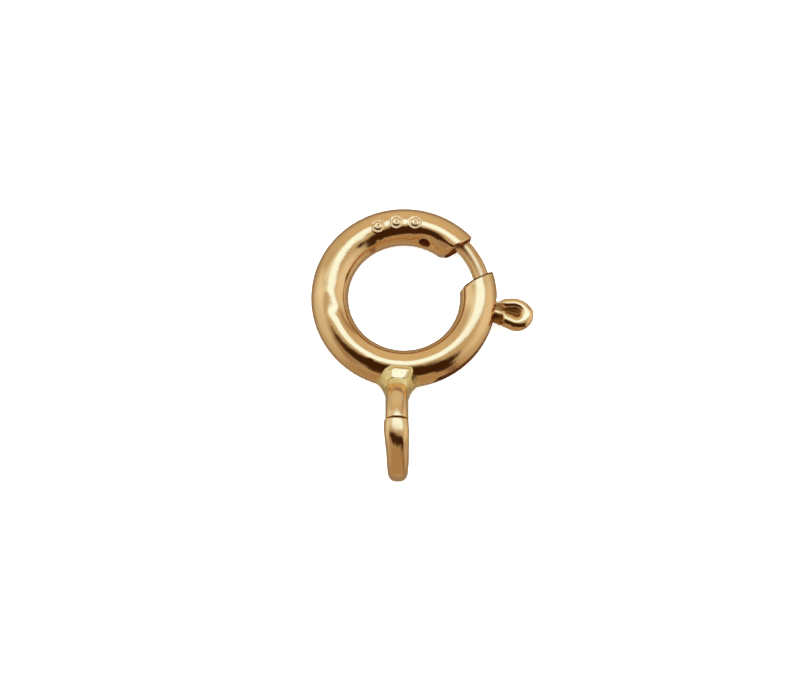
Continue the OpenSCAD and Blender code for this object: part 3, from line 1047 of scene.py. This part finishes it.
# What the metal reflects: how far noise bends it, in degrees, the colour all round,
# and oval patches. Each row: right, up, half width, half height, roll, softness
# and colour; later rows lie over earlier ones
WOBBLE = 12
AROUND = (0.34, 0.28, 0.20)
PATCHES = [
    (0, 0, 122, 122, 0, 0.12, (0.58, 0.54, 0.41)),
    (0, -80, 90, 38, 0, 0.4, (0.44, 0.33, 0.20)),
    (0, 80, 42, 26, 0, 0.5, (0.68, 0.62, 0.45)),
    (-75, 12, 32, 36, 0, 0.5, (0.70, 0.72, 0.62)),
    (-64, 33, 24, 14, 0, 0.6, (0.86, 0.92, 0.86)),
    (-44, -16, 14, 32, -10, 0.6, (0.38, 0.29, 0.20)),
    (70, 12, 28, 36, 0, 0.5, (0.82, 0.82, 0.74)),
    (56, 68, 26, 8, 50, 0.6, (0.40, 0.30, 0.20)),
    (64, -80, 36, 8, -64, 0.5, (0.24, 0.15, 0.09)),
    (36, -37, 20, 12, -56, 0.25, (0.05, 0.02, 0.01)),
    (-31, 4, 12, 14, 0, 0.3, (0.08, 0.035, 0.01)),
    (-17, -28, 13, 16, 0, 0.3, (0.08, 0.035, 0.01)),
    (-10, -4, 27, 22, -15, 0.16, (0.05, 0.02, 0.005)),
    (16, -22, 25, 24, -30, 0.16, (0.05, 0.02, 0.005)),
    (-24, 41, 24, 9, 0, 0.5, (0.84, 0.98, 1.0)),
    (12, 37, 28, 13, -10, 0.25, (1.08, 1.55, 2.10)),
]


def studio():
    """The room that the metal reflects: a warm surround, lighter on both sides,
    dark shapes where the camera stands, and one wide soft light."""
    world = bpy.data.worlds.new("studio")
    bpy.context.scene.world = world
    world.use_nodes = True
    nodes, links = world.node_tree.nodes, world.node_tree.links

    def calculate(kind, operation, *inputs):
        """The result of a maths node of that kind, on sockets or constants."""
        node = add_node(world, kind, operation=operation)
        for socket, value in zip(node.inputs, inputs):
            if isinstance(value, bpy.types.NodeSocket):
                links.new(socket, value)
            else:
                socket.default_value = value
        has_value = operation in ("DOT_PRODUCT", "LENGTH") or kind == "ShaderNodeMath"
        return node.outputs["Value" if has_value else "Vector"]

    # Right and up in degrees: the part of the direction across the view, made
    # as long as its angle from the way back to the camera
    where = add_node(world, "ShaderNodeTexCoord").outputs["Generated"]
    c, s = np.cos(VIEW_TILT), np.sin(VIEW_TILT)
    parts = [calculate("ShaderNodeVectorMath", "DOT_PRODUCT", where, axis)
             for axis in ((1, 0, 0), (0, c, s), (0, -s, c))]
    angle = calculate("ShaderNodeMath", "ARCCOSINE", parts[2])
    across = add_node(world, "ShaderNodeCombineXYZ")
    links.new(across.inputs[0], parts[0])
    links.new(across.inputs[1], parts[1])
    unit = calculate("ShaderNodeVectorMath", "NORMALIZE", across.outputs["Vector"])
    degrees = calculate("ShaderNodeMath", "MULTIPLY", angle, 180 / np.pi)
    flat = calculate("ShaderNodeVectorMath", "SCALE", unit)
    links.new(flat.node.inputs["Scale"], degrees)
    wobble = add_node(world, "ShaderNodeTexNoise", Scale=2.2, Detail=3)
    links.new(wobble.inputs["Vector"], where)
    bend = calculate("ShaderNodeVectorMath", "MULTIPLY_ADD", wobble.outputs["Color"],
                     (WOBBLE, WOBBLE, 0), (-WOBBLE / 2, -WOBBLE / 2, 0))
    place_seen = calculate("ShaderNodeVectorMath", "ADD", flat, bend)

    def patch(below, right, up, half_right, half_up, roll, soft, colour):
        """Lays one oval patch over what is below it."""
        oval = add_node(world, "ShaderNodeMapping", vector_type="TEXTURE",
                        Location=(right, up, 0), Rotation=(0, 0, np.radians(roll)),
                        Scale=(half_right, half_up, 1))
        links.new(oval.inputs["Vector"], place_seen)
        size = calculate("ShaderNodeVectorMath", "LENGTH", oval.outputs["Vector"])
        fade = add_node(world, "ShaderNodeMapRange", interpolation_type="SMOOTHSTEP",
                        **{"From Min": 1 - soft, "From Max": 1 + soft, "To Min": 1,
                           "To Max": 0})
        links.new(fade.inputs["Value"], size)
        mix = add_node(world, "ShaderNodeMix", data_type="RGBA")
        links.new(mix.inputs["Factor"], fade.outputs["Result"])
        links.new(mix.inputs["A"], below)
        mix.inputs["B"].default_value = (*colour, 1)
        return mix.outputs["Result"]

    surround = add_node(world, "ShaderNodeRGB")
    surround.outputs[0].default_value = (*AROUND, 1)
    light = surround.outputs[0]
    for row in PATCHES:
        light = patch(light, *row)
    links.new(nodes["Background"].inputs["Color"], light)


def overhead_lamp():
    """A soft lamp for the floor alone; the metal takes its light from the
    studio round it."""
    data = bpy.data.lights.new("overhead", "AREA")
    data.shape = "DISK"
    data.size = 0.5
    data.energy = 3.0
    lamp = bpy.data.objects.new("overhead", data)
    lamp.location = (0.0, 0.03, 0.32)
    lamp.visible_glossy = False
    bpy.context.scene.collection.objects.link(lamp)


studio()
overhead_lamp()


# Camera

CAMERA_DISTANCE = 90.0
PIXELS_PER_MM = 31.0
PICTURE_W, PICTURE_H = 800, 685
RING_PIXEL = (404.1, 297.7)


def camera():
    """Stands on the eye's side of the clasp, nearly overhead, and sets the
    ring's middle on its place in the picture."""
    data = bpy.data.cameras.new("camera")
    data.sensor_width = 36
    data.sensor_fit = "HORIZONTAL"
    data.lens = 36 * CAMERA_DISTANCE * PIXELS_PER_MM / PICTURE_W
    data.clip_start = 0.001
    data.clip_end = 10
    off_right = (RING_PIXEL[0] - PICTURE_W / 2) / PIXELS_PER_MM
    off_up = (PICTURE_H / 2 - RING_PIXEL[1]) / PIXELS_PER_MM
    tilt = VIEW_TILT - np.arctan(off_up / CAMERA_DISTANCE)
    toward = np.array([0, -np.sin(tilt), np.cos(tilt)])
    up = np.array([0, np.cos(tilt), np.sin(tilt)])
    right = np.array([1.0, 0, 0])
    middle = RING_MIDDLE - MM * (off_right * right + off_up * up)
    spot = middle + MM * CAMERA_DISTANCE * toward
    matrix = np.eye(4)
    matrix[:3, 0], matrix[:3, 1], matrix[:3, 2], matrix[:3, 3] = right, up, toward, spot
    stand = bpy.data.objects.new("camera", data)
    stand.matrix_world = Matrix(matrix.tolist())
    bpy.context.scene.collection.objects.link(stand)
    bpy.context.scene.camera = stand


camera()
bpy.context.scene.view_settings.view_transform = "Standard"
